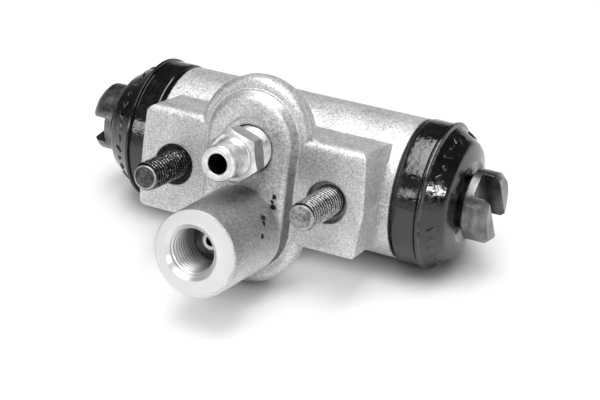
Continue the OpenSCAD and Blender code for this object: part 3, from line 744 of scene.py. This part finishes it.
INLET_PITCH, INLET_DEPTH = 1.0, 0.55
INLET_FIRST, INLET_LAST = -10.8, -0.8
INLET_FADE_IN, INLET_FADE_OUT = 0.5, 0.9
SLEEVE_IN, SLEEVE_OUT = 0.06, 0.3
INLET_STEP = 1 / 14
TINY = 1e-6


def inlet_piece(name, rings, segments, sharp):
    piece = lathe(name, INLET, rings, segments, closed=True, sharp=sharp)
    piece.data.materials.append(ALUMINIUM)
    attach(piece, "housing")


def inlet_thread():
    """Thread inside the inlet: a thin sleeve whose inner side carries the ridges."""
    segments = 144
    angles = turn_angles(segments)
    rings = []
    for s in np.arange(INLET_FIRST, INLET_LAST + TINY, INLET_STEP):
        wall = thread_radius(s, angles, INLET_THREAD_R, INLET_DEPTH, INLET_PITCH)
        fade = (np.clip((INLET_LAST - s) / INLET_FADE_OUT, 0, 1)
                * np.clip((s - INLET_FIRST) / INLET_FADE_IN, 0, 1))
        rings.append((s, INLET_THREAD_R - SLEEVE_IN - (INLET_THREAD_R - wall) * fade))
    outside = INLET_THREAD_R + SLEEVE_OUT
    rings += [(INLET_LAST, outside), (INLET_FIRST, outside)]
    inlet_piece("inlet_thread", rings, segments, sharp=50)


def flare_seat():
    """Seat insert that the line's flare presses on, a hollow cone at the bottom of the inlet."""
    edge = 0.08
    rings = [(-FLARE_FOOT, FLARE_FOOT_R), (-FLARE_BACK - edge, FLARE_RIM_R),
             (-FLARE_BACK, FLARE_RIM_R - edge), (-FLARE_BACK, FLARE_HOLE_R),
             (-FLARE_FOOT, FLARE_HOLE_R)]
    inlet_piece("flare_seat", rings, 96, sharp=40)


inlet_thread()
flare_seat()


# Bleed screw.

HEX_BACK_CHAMFER = 0.35
HEX_CHAMFER = math.radians(30)
SCREW_CHAMFER, SCREW_SLOPE = 0.4, 1.2
RIPPLE, RIPPLE_PITCH, RIPPLE_STEP = 0.04, 0.42, 0.05
# The rippled root in front of the hexagon, and the waist after it.
ROOT_L, ROOT_FLARE, WAIST_OVER, WAIST_EASE = 1.4, 0.25, 0.12, 0.8
# The nipple, measured back from its tip and in from its radius; its end has a small step.
SWELL_START, SWELL_END, CROWN_START = 2.9, 2.0, 0.5
STEP_BACK, STEP_OUT, STEP_IN, CROWN_IN = 0.12, 0.32, 0.62, 0.7
HOLE_FLARE, HOLE_FLARE_DEPTH = 0.22, 0.25


def hexagon_block():
    """Hexagon with its corners turned off at both ends, by cutting a prism with a turned blank."""
    corner = HEX_AF / 2 / math.cos(math.radians(30))
    angles = HEX_TURN + np.radians(60) * np.arange(6)
    prism = bmesh.new()
    ends = []
    for s in (HEX_BACK, HEX_FRONT):
        ends.append([prism.verts.new(p) for p in BLEED.ring(s, corner, angles)])
    prism.faces.new(ends[0])
    prism.faces.new(ends[1])
    for k in range(6):
        prism.faces.new((ends[0][k], ends[0][k - 1], ends[1][k - 1], ends[1][k]))
    mesh = bpy.data.meshes.new("bleed_hexagon")
    prism.to_mesh(mesh)
    prism.free()
    block = finish_mesh(mesh, 30)
    spare = 0.1
    over = corner + spare
    front_r = HEX_AF / 2 - HEX_INSET
    slope = (over - front_r) * math.tan(HEX_CHAMFER)
    blank = lathe("bleed_blank", BLEED,
                  [(HEX_BACK - spare, HEX_AF / 2), (HEX_BACK + HEX_BACK_CHAMFER, over),
                   (HEX_FRONT - slope, over), (HEX_FRONT, front_r), (HEX_FRONT + spare, front_r)], 96)
    cut = block.modifiers.new("turned", "BOOLEAN")
    cut.operation = "INTERSECT"
    cut.object = blank
    cut.solver = "EXACT"
    shown = block.evaluated_get(bpy.context.evaluated_depsgraph_get())
    shaped = bpy.data.meshes.new_from_object(shown)
    bpy.data.objects.remove(blank)
    bpy.data.objects.remove(block)
    return shaped


def bleed_screw():
    """Screw with a conical point, a thread, a hexagon, a rippled root and a hollow hose nipple."""
    segments = 120
    angles = turn_angles(segments)
    rings = [(BLEED_POINT, BLEED_POINT_R), (BLEED_CONE, BLEED_CORE_R), (BLEED_BACK, BLEED_CORE_R)]
    thread_end = HEX_BACK - 0.6
    for s in np.arange(BLEED_BACK, thread_end + TINY, BLEED_PITCH / STEPS_A_PITCH):
        wall = thread_radius(s, angles, BLEED_R, BLEED_DEPTH, BLEED_PITCH)
        limit = BLEED_R - max(0.0, s - thread_end + SCREW_CHAMFER) * SCREW_SLOPE
        rings.append((s, np.minimum(wall, limit)))
    rings += [(thread_end + 0.1, ROOT_R), (HEX_BACK + 0.05, ROOT_R), (HEX_FRONT + 0.3, ROOT_R)]
    root_end, waist = HEX_FRONT + ROOT_L, NECK_R + WAIST_OVER
    root_end_r = waist + ROOT_FLARE
    for s in np.arange(HEX_FRONT + 0.4, root_end, RIPPLE_STEP):
        ripple = RIPPLE * math.sin(2 * math.pi * s / RIPPLE_PITCH)
        rings.append((s, np.interp(s, [HEX_FRONT, root_end], [ROOT_R, root_end_r]) + ripple))
    step = NIPPLE_TIP - STEP_BACK
    rings += rounded([
        (root_end, root_end_r, 0), (root_end + WAIST_EASE, waist, 1.6),
        (NIPPLE_TIP - SWELL_START, waist, 1.6), (NIPPLE_TIP - SWELL_END, NIPPLE_R, 1.2),
        (NIPPLE_TIP - CROWN_START, NIPPLE_R, 0.25), (step, NIPPLE_R - STEP_OUT, 0.05),
        (step, NIPPLE_R - STEP_IN, 0.04), (NIPPLE_TIP, NIPPLE_R - CROWN_IN, 0.05),
        (NIPPLE_TIP, HOLE_R + HOLE_FLARE, 0.08), (NIPPLE_TIP - HOLE_FLARE_DEPTH, HOLE_R, 0.08),
        (HOLE_BACK, HOLE_R, 0)])
    piece = lathe("bleed_screw_threaded", BLEED, rings, segments, sharp=35)
    both = bmesh.new()
    both.from_mesh(piece.data)
    both.from_mesh(hexagon_block())
    both.to_mesh(piece.data)
    both.free()
    shade_smooth(piece.data, 28)
    piece.data.materials.append(ZINC)
    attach(piece, "bleeder")
    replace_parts(piece, "bleed_screw")


bleed_screw()


# Boots, measured along the bore from its middle.

GRIP_START, GRIP_GAP, BOOT_WALL = 30.2, 0.08, 1.27
BAND_START, BAND_R = 28.3, 15.4
BAND_END, CREASE_W, CREASE_DEPTH = 33.45, 0.3, 0.42
LIP_R, LIP_END, LIP_EDGE = 15.8, 34.5, 0.25
CONE_R = 14.95
CONE_SLOPE = math.radians(32.5)
INNER_BACK = 0.8
NOSE_TURN, NOSE_RIM_R, NOSE_REACH, NOSE_HOLLOW = 0.5, 8.7, 0.5, 0.4
MOUTH_R = 7.9
BEAD_R, BEAD_HALF = 5.85, 1.25
BOOT_SEGMENTS = 540
CONE_STEP, PLAIN_STEP = 0.16, 0.8
CONE_SLACK, WALL_SLACK, INNER_GAP = 0.1, 0.3, 0.12

# Moulded marks on each cone: groups of plain raised pips, slanted bars, ticks and lozenges.
LEFT_MARKS = (88, 20, -48, -116, 176)
RIGHT_MARKS = (86, -14, -92, -168, 166)
MARK_STEP = 11.0
MARK_ORDER = ("bar", "lozenge", "tick", "bar", "pip", "lozenge")
MARK_RISE, MARK_EDGE, MARK_BAND, MARK_BACK = 0.3, 0.24, 1.5, 0.1
BAR_SLANT, BAR_HALF_W, BAR_HALF_H = 0.4, 0.25, 0.85
TICK_HALF_W, TICK_HALF_H, TICK_DROP = 0.75, 0.25, 0.4
LOZENGE_HALF, LOZENGE_SLOPE = 0.95, 0.7
PIP_R, PIP_LIFT = 0.45, 0.2


def mark_distance(kind, u, w):
    """Distance from a mark's outline, negative inside, at u along the ring and w up the cone."""
    if kind == "bar":
        return np.maximum(np.abs(u - BAR_SLANT * w) - BAR_HALF_W, np.abs(w) - BAR_HALF_H)
    if kind == "tick":
        return np.maximum(np.abs(u) - TICK_HALF_W, np.abs(w + TICK_DROP) - TICK_HALF_H)
    if kind == "lozenge":
        return LOZENGE_SLOPE * (np.abs(u) + np.abs(w) - LOZENGE_HALF)
    return np.hypot(u, w - PIP_LIFT) - PIP_R


def mark_rise(groups, angles, radius, w):
    """Height of the marks round one ring of the cone, w millimetres up from their middle line."""
    rise = np.zeros_like(angles)
    for group in groups:
        for i, kind in enumerate(MARK_ORDER):
            turn = math.radians(group - i * MARK_STEP)
            u = ((angles - turn + np.pi) % (2 * np.pi) - np.pi) * radius
            inside = np.clip(0.5 - mark_distance(kind, u, w) / MARK_EDGE, 0, 1)
            rise = np.maximum(rise, MARK_RISE * inside * inside * (3 - 2 * inside))
    return rise


def boot(name, axis, stand, node, groups):
    """Boot from the groove on the barrel's end to the groove of a piston that stands out so far."""
    # A ring's angle 0 points to the back; marks are placed from the front, upwards.
    front_angles = np.pi - turn_angles(BOOT_SEGMENTS)
    bead = BARREL_END + stand - TIP_L - PISTON_GROOVE_W / 2
    turn_at = bead - NOSE_TURN
    nose = bead + NOSE_REACH
    turn_r = CONE_R - (turn_at - LIP_END) * math.tan(CONE_SLOPE)
    grip_r = SPIGOT_R + GRIP_GAP
    outline = rounded([
        (GRIP_START, grip_r, 0), (BAND_START, grip_r, 0.05), (BAND_START, BAND_R, 0.6),
        (BAND_END - CREASE_W, BAND_R, 0.1), (BAND_END, BAND_R - CREASE_DEPTH, 0.1),
        (BAND_END + LIP_EDGE, LIP_R, 0.16), (LIP_END - LIP_EDGE, LIP_R, 0.2),
        (LIP_END, CONE_R, 0.25), (turn_at, turn_r, 1.8), (nose, NOSE_RIM_R, 0.7),
        (nose - NOSE_HOLLOW, MOUTH_R, 0.2), (nose - NOSE_HOLLOW, BEAD_R, 0.15),
        (bead - BEAD_HALF, BEAD_R, 0.15), (bead - BEAD_HALF, MOUTH_R, 0.4),
        (turn_at - INNER_BACK, turn_r - BOOT_WALL, 0.8),
        (LIP_END - INNER_BACK, CONE_R - BOOT_WALL, 0.5),
        (BARREL_END + INNER_GAP, grip_r, 0.1), (GRIP_START, grip_r, 0)], step=10)
    middle = (LIP_END + turn_at) / 2 - MARK_BACK
    rings = []
    for here, after in zip(outline, outline[1:]):
        on_cone = (LIP_END - CONE_SLACK < here[0] < turn_at
                   and here[1] > turn_r - WALL_SLACK and after[0] > here[0])
        step = CONE_STEP if on_cone else PLAIN_STEP
        parts = max(1, int(np.linalg.norm(after - here) / step))
        for i in range(parts):
            s, r = here + (after - here) * i / parts
            w = (s - middle) / math.cos(CONE_SLOPE)
            if on_cone and abs(w) < MARK_BAND:
                r = r + mark_rise(groups, front_angles, r, w) / math.cos(CONE_SLOPE)
            rings.append((s, r))
    piece = lathe(name, axis, rings, BOOT_SEGMENTS, closed=True, sharp=50)
    piece.data.materials.append(BOOT_RUBBER)
    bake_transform(piece)
    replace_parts(piece, node)


boot("left_boot_rubber", BORE_LEFT, LEFT_STAND, "left_boot", LEFT_MARKS)
boot("right_boot_rubber", BORE_RIGHT, RIGHT_STAND, "right_boot", RIGHT_MARKS)


# Return spring.

SPRING_D, WIRE_D, SPRING_COILS = 8.6, 1.0, 7
SPRING_LOW, SPRING_HIGH = (corner[0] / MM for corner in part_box("return_spring"))
COIL_STEPS, WIRE_SIDES = 24, 12


def half_spring(name, begin, end):
    """Half of the return spring, from one share of its length to another."""
    first, last = SPRING_LOW + WIRE_D / 2, SPRING_HIGH - WIRE_D / 2
    steps, sides = COIL_STEPS * SPRING_COILS // 2, WIRE_SIDES
    section = turn_angles(sides)
    corners = []
    for share in np.linspace(begin, end, steps + 1):
        turn = 2 * np.pi * SPRING_COILS * share
        r = SPRING_D / 2 + WIRE_D / 2 * np.cos(section)
        x = first + (last - first) * share + WIRE_D / 2 * np.sin(section)
        corners += zip(x * MM, (FACE + r * np.cos(turn)) * MM, (r * np.sin(turn) - RISE) * MM)
    faces = []
    for i in range(steps):
        a, b = i * sides, (i + 1) * sides
        faces += [(a + k, a + (k + 1) % sides, b + (k + 1) % sides, b + k) for k in range(sides)]
    faces += [tuple(range(sides)), tuple(steps * sides + k for k in range(sides))]
    mesh = bpy.data.meshes.new(name)
    mesh.from_pydata(corners, [], faces)
    mesh.materials.append(SPRING_STEEL)
    piece = finish_mesh(mesh, 50)
    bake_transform(piece)
    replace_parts(piece, "return_spring")


half_spring("left_spring_half", 0.0, 0.5)
half_spring("right_spring_half", 0.5, 1.0)


# Camera: angles in degrees, its aim measured from the bore's middle, the picture in pixels.

AZIMUTH, ELEVATION, ROLL = 22.999, 18.242, 6.638
DISTANCE = 351.026
AIM_RIGHT, AIM_UP = 0.391, -8.586
FOCAL_PIXELS, PICTURE_WIDTH = 1614.96, 600
SENSOR = 36.0
CLIP_METRES = (0.01, 20)

az, el, roll = (math.radians(a) for a in (AZIMUTH, ELEVATION, ROLL))
back = Vector((math.sin(az) * math.cos(el), -math.cos(az) * math.cos(el), math.sin(el)))
level = Vector((math.cos(az), math.sin(az), 0))
upright = back.cross(level)
right = level * math.cos(roll) + upright * math.sin(roll)
up = upright * math.cos(roll) - level * math.sin(roll)
lens = bpy.data.cameras.new("camera")
lens.sensor_width = SENSOR
lens.lens = SENSOR * FOCAL_PIXELS / PICTURE_WIDTH
lens.clip_start, lens.clip_end = CLIP_METRES
camera = bpy.data.objects.new("camera", lens)
bpy.context.scene.collection.objects.link(camera)
spot = (right * AIM_RIGHT + up * AIM_UP + back * DISTANCE + Vector((0, FACE, -RISE))) * MM
camera.matrix_world = Matrix((
    (right.x, up.x, back.x, spot.x),
    (right.y, up.y, back.y, spot.y),
    (right.z, up.z, back.z, spot.z),
    (0, 0, 0, 1)))
bpy.context.scene.camera = camera


# Stage.

# The part lies on its two boots and on the collar's back edge, so the floor is tilted.
COLLAR_FRONT, COLLAR_LOW, COLLAR_EDGE = 20.4, 19.3, 1.6
FLOOR_GAP = 0.1
FLOOR_HALF_METRES = 3.0

tilt = (math.acos((LIP_R - COLLAR_EDGE) / math.hypot(COLLAR_FRONT, COLLAR_LOW))
        - math.atan2(COLLAR_FRONT, COLLAR_LOW))
floor_up = Vector((0, -math.sin(tilt), math.cos(tilt)))
floor_at = (Vector((0, FACE, -RISE)) - floor_up * (LIP_R + FLOOR_GAP)) * MM
toward_back = Vector((0, math.cos(tilt), math.sin(tilt)))

floor_mesh = bpy.data.meshes.new("floor")
floor_mesh.from_pydata(
    [tuple(floor_at + Vector((sx * FLOOR_HALF_METRES, 0, 0)) + toward_back * sy * FLOOR_HALF_METRES)
     for sx, sy in ((-1, -1), (1, -1), (1, 1), (-1, 1))], [], [(0, 1, 2, 3)])
floor = bpy.data.objects.new("floor", floor_mesh)
bpy.context.scene.collection.objects.link(floor)

FLOOR_TONE = 0.55
# The floor's glow to the eye and in gloss, and the sky's light and its glow to the eye.
FLOOR_SEEN, FLOOR_GLOSS = 0.42, 0.50
SKY_LIGHT, SKY_SEEN = 0.045, 1.0
# The floor's glow makes up for the lamps' light between these distances from the part, in metres.
FLOOR_FAR = (0.25, 0.9)
# The floor's gloss fades to the left, between these two places along the bore, in metres.
FLAG = (-0.16, -0.06)
# The floor's glow goes out where the part stands close over it, a painted contact shadow.
CONTACT_REACH, CONTACT_SAMPLES, CONTACT_RANGE = 7.5, 8, (0.25, 0.85)
# Sines of the heights where the white sweep starts to fade and ends, and where it fades sideways.
SWEEP_RANGE, SWEEP_SIDE = (0.08, 0.20), (-0.9, -0.2)
EYE_RAYS = ("Is Camera Ray", "Is Transmission Ray")


def floor_material():
    """Pale floor that keeps shadows, glows a little to the eye, and is clear from below."""
    m = bpy.data.materials.new("floor")
    m.use_nodes = True
    t = Nodes(m.node_tree)
    geometry = t.node("NewGeometry").outputs
    away = t.vector("LENGTH", geometry["Position"])
    seen = t.ramp(away, *FLOOR_FAR, FLOOR_SEEN, SKY_SEEN, smooth=False)
    gloss = t.ramp(t.split(geometry["Position"])["X"], *FLAG, 0.0, FLOOR_GLOSS, smooth=False)
    glow = t.plus(t.times(t.ray(*EYE_RAYS), seen), t.times(t.ray("Is Glossy Ray"), gloss))
    contact_shadow = t.ramp(t.crevice(CONTACT_REACH, CONTACT_SAMPLES), *CONTACT_RANGE, smooth=False)
    matt = t.fill(t.node("BsdfDiffuse"), grey(FLOOR_TONE))
    glowing = t.fill(t.node("Emission"), grey(1.0), t.times(glow, contact_shadow))
    above = t.fill(t.node("AddShader"), matt, glowing)
    clear = t.node("BsdfTransparent").outputs[0]
    surface = t.fill(t.node("MixShader"), geometry["Backfacing"], above, clear)
    t.put(surface, t.node("OutputMaterial").inputs["Surface"])
    return m


floor_mesh.materials.append(floor_material())


def world():
    """White to the eye; gloss sees a white sweep that ends a little above the floor's horizon."""
    w = bpy.data.worlds.new("studio")
    bpy.context.scene.world = w
    w.use_nodes = True
    t = Nodes(w.node_tree)
    toward = t.node("TexCoord").outputs["Generated"]
    sweep = t.ramp(t.vector("DOT_PRODUCT", toward, floor_up), *SWEEP_RANGE, 1.0, 0.0, smooth=False)
    fade = t.ramp(t.split(toward)["X"], *SWEEP_SIDE, smooth=False)
    white = t.most(t.ray(*EYE_RAYS), t.times(t.ray("Is Glossy Ray"), sweep, fade))
    strength = t.ramp(white, 0.0, 1.0, SKY_LIGHT, SKY_SEEN, smooth=False)
    sky = t.fill(t.node("Background"), grey(1.0), strength)
    t.put(sky, t.node("OutputWorld").inputs["Surface"])


world()


# Lamps: azimuth and elevation in degrees, distance and size in metres.

def direction(azimuth, elevation):
    """Towards a place over the floor: azimuth 0 is the front and positive to the right."""
    a, e = math.radians(azimuth), math.radians(elevation)
    flat = Vector((math.sin(a), 0, 0)) - toward_back * math.cos(a)
    return flat * math.cos(e) + floor_up * math.sin(e)


def hang(name, data, target, aim, distance):
    """A lamp at a distance from its target, facing it and hidden from the camera."""
    lamp = bpy.data.objects.new(name, data)
    lamp.location = target + aim * distance
    lamp.rotation_mode = "QUATERNION"
    lamp.rotation_quaternion = aim.to_track_quat("Z", "Y")
    lamp.visible_camera = False
    bpy.context.scene.collection.objects.link(lamp)


def softbox(name, azimuth, elevation, distance, size, radiance):
    """A rectangle of even light."""
    data = bpy.data.lights.new(name, "AREA")
    data.shape = "RECTANGLE"
    data.size, data.size_y = size
    data.energy = math.pi * size[0] * size[1] * radiance
    hang(name, data, Vector((0, 0, 0)), direction(azimuth, elevation), distance)


SNOOT_BLEND, SNOOT_SOFT_METRES = 0.4, 0.006


def snoot(name, azimuth, elevation, distance, target, width, strength):
    """A narrow lamp that lights a spot of the given width, in millimetres."""
    data = bpy.data.lights.new(name, "SPOT")
    data.spot_size = 2 * math.atan(width / 2 * MM / distance)
    data.spot_blend = SNOOT_BLEND
    data.shadow_soft_size = SNOOT_SOFT_METRES
    data.energy = strength * 4 * math.pi * distance ** 2
    hang(name, data, Vector(target), direction(azimuth, elevation), distance)


softbox("overhead", 0, 86, 0.62, size=(0.40, 0.80), radiance=6.3)
softbox("front_top", -8, 44, 0.7, size=(0.80, 0.30), radiance=0.12)
softbox("front_right", 55, 25, 0.7, size=(0.09, 0.09), radiance=30.0)
softbox("front_left", -19, 21, 0.7, size=(0.16, 0.12), radiance=5.6)
softbox("far_left", -35, 20, 0.7, size=(0.10, 0.20), radiance=6.5)
snoot("inlet_snoot", 14, 22, 0.5, target=point(-INLET_SHIFT, INLET_REACH - FLARE_BACK, -PORT),
      width=4.4, strength=4.0)

bpy.context.scene.view_settings.view_transform = "Standard"
